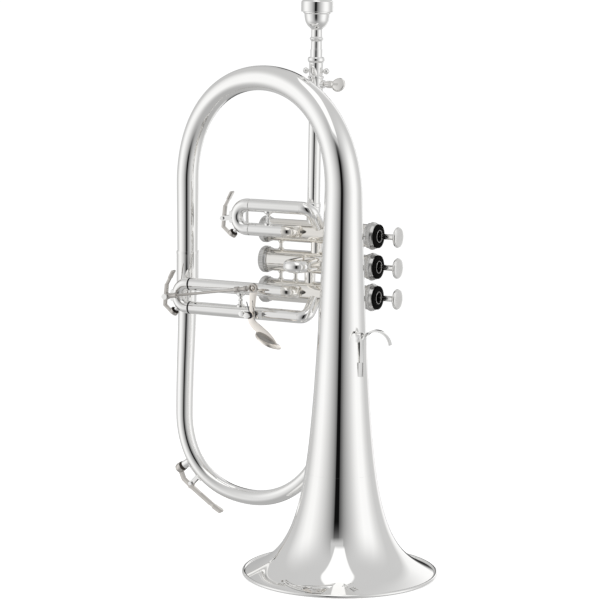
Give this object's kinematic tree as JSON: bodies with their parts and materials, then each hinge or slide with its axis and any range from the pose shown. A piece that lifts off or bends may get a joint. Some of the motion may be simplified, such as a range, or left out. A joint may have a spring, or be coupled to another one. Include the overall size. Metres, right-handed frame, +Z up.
{
  "type": "flugelhorn",
  "caption": "Silver-plated flugelhorn standing on its bell, with piston valves, pull-out tuning slides, third-slide trigger linkage, water keys and a mouthpiece.",
  "frame": {"origin": "centre of the bell mouth, in the plane the rolled rim stands on", "axes": "+Z up along the bell axis, +X along the valves toward the finger buttons, +Y from the bell toward the valve block"},
  "size_m": [0.2547, 0.1524, 0.4433],
  "materials": {
    "silver_plate": "mirror-polished silver plate on brass",
    "satin_nickel": "nickel plate, satin, knurled",
    "monel_piston": "lapped piston alloy, fine satin",
    "trigger_brass": "polished plate, slightly warm",
    "spring_steel": "blackened spring wire",
    "black_felt": "black wool felt",
    "key_cork": "black synthetic cork",
    "bumper_rubber": "black rubber"
  },
  "bodies": {
    "horn": {"bell_flare": "silver_plate", "bell_throat": "silver_plate", "rim_wire": "silver_plate", "bell_bow": "silver_plate", "bow_ferrule": "silver_plate", "bottom_bow": "silver_plate", "outlet_knuckle": "silver_plate", "leadpipe": "silver_plate", "leadpipe_sleeve": "silver_plate", "casing_1": "silver_plate", "casing_2": "silver_plate", "casing_3": "silver_plate", "casing_braces": "silver_plate", "crossovers": "silver_plate", "bottom_cap_1": "satin_nickel", "bottom_cap_2": "satin_nickel", "bottom_cap_3": "satin_nickel", "top_cap_1": "satin_nickel", "top_cap_2": "satin_nickel", "top_cap_3": "satin_nickel", "cap_felt_1": "black_felt", "cap_felt_2": "black_felt", "cap_felt_3": "black_felt", "slide1_elbow_upper": "silver_plate", "slide1_elbow_lower": "silver_plate", "slide1_sleeve_upper": "silver_plate", "slide1_sleeve_lower": "silver_plate", "slide1_brace": "silver_plate", "slide3_elbow_upper": "silver_plate", "slide3_elbow_lower": "silver_plate", "slide3_sleeve_upper": "silver_plate", "slide3_sleeve_lower": "silver_plate", "slide3_brace": "silver_plate", "slide2_sleeves": "silver_plate", "trigger_bracket": "silver_plate", "bow_key_saddle": "silver_plate", "finger_hook": "silver_plate", "bell_braces": "silver_plate"},
    "clamp_screw": {"clamp_screw": "satin_nickel"},
    "receiver": {"receiver": "silver_plate"},
    "mouthpiece": {"mouthpiece": "silver_plate"},
    "valve_1": {"piston_1": "monel_piston", "button_1": "satin_nickel"},
    "valve_2": {"piston_2": "monel_piston", "button_2": "satin_nickel"},
    "valve_3": {"piston_3": "monel_piston", "button_3": "satin_nickel"},
    "first_slide": {"slide1_crook": "silver_plate"},
    "first_slide_key": {"slide1_key_lever": "silver_plate", "slide1_key_cork": "key_cork"},
    "second_slide": {"slide2_crook": "silver_plate"},
    "third_slide": {"slide3_crook": "silver_plate", "slide3_bumpers": "bumper_rubber"},
    "third_slide_key": {"slide3_key_lever": "silver_plate", "slide3_key_cork": "key_cork"},
    "linkage": {"linkage_rod": "satin_nickel"},
    "trigger": {"trigger_lever": "trigger_brass", "trigger_spring": "spring_steel"},
    "bow_key": {"bow_key_lever": "silver_plate", "bow_key_cork": "key_cork"}
  },
  "joints": [
    {"name": "clamp_screw_turn", "type": "hinge", "parent": "horn", "child": "clamp_screw", "pos_m": [-0.03807, 0.046, 0.37738], "axis": [0.9999, 0, -0.0105], "range_deg": [0, 360]},
    {"name": "receiver_pull", "type": "slide", "parent": "horn", "child": "receiver", "axis": [0.0105, 0, 0.9999], "range_m": [0, 0.015]},
    {"name": "mouthpiece_pull", "type": "slide", "parent": "receiver", "child": "mouthpiece", "axis": [0.0105, 0, 0.9999], "range_m": [0, 0.025]},
    {"name": "valve_1_press", "type": "slide", "parent": "horn", "child": "valve_1", "axis": [-1, 0, 0], "range_m": [0, 0.014], "stiffness_N_per_m": 90, "springref_m": -0.015},
    {"name": "valve_2_press", "type": "slide", "parent": "horn", "child": "valve_2", "axis": [-1, 0, 0], "range_m": [0, 0.014], "stiffness_N_per_m": 90, "springref_m": -0.015},
    {"name": "valve_3_press", "type": "slide", "parent": "horn", "child": "valve_3", "axis": [-1, 0, 0], "range_m": [0, 0.014], "stiffness_N_per_m": 90, "springref_m": -0.015},
    {"name": "first_slide_pull", "type": "slide", "parent": "horn", "child": "first_slide", "axis": [-1, 0, 0], "range_m": [0, 0.018]},
    {"name": "first_slide_key_open", "type": "hinge", "parent": "first_slide", "child": "first_slide_key", "pos_m": [-0.1213, 0.027, 0.2692], "axis": [0, 1, 0], "range_deg": [0, 15], "stiffness_Nm_per_rad": 0.12, "springref_deg": -14.32},
    {"name": "second_slide_pull", "type": "slide", "parent": "horn", "child": "second_slide", "axis": [0, -1, 0], "range_m": [0, 0.01]},
    {"name": "third_slide_pull", "type": "slide", "parent": "horn", "child": "third_slide", "axis": [-1, 0, 0], "range_m": [0, 0.009], "stiffness_N_per_m": 150, "springref_m": -0.012},
    {"name": "third_slide_key_open", "type": "hinge", "parent": "third_slide", "child": "third_slide_key", "pos_m": [-0.1763, 0.027, 0.2019], "axis": [0, 1, 0], "range_deg": [0, 15], "stiffness_Nm_per_rad": 0.12, "springref_deg": -14.32},
    {"name": "linkage_swing", "type": "hinge", "parent": "third_slide", "child": "linkage", "pos_m": [-0.1665, 0.0126, 0.2042], "axis": [0, 1, 0], "range_deg": [0, 0.5]},
    {"name": "trigger_turn", "type": "hinge", "parent": "horn", "child": "trigger", "pos_m": [-0.0894, 0.0156, 0.1947], "axis": [0, -1, 0], "range_deg": [0, 24]},
    {"name": "bow_key_open", "type": "hinge", "parent": "horn", "child": "bow_key", "pos_m": [-0.16217, 0.0461, 0.04421], "axis": [0, -1, 0], "range_deg": [0, 15], "stiffness_Nm_per_rad": 0.12, "springref_deg": -14.32}
  ],
  "couplings": [
    {"joint": "trigger_turn", "follows": "third_slide_pull", "rad_per_m": 45.18},
    {"joint": "linkage_swing", "follows": "third_slide_pull", "rad_per_m": 0.776}
  ]
}
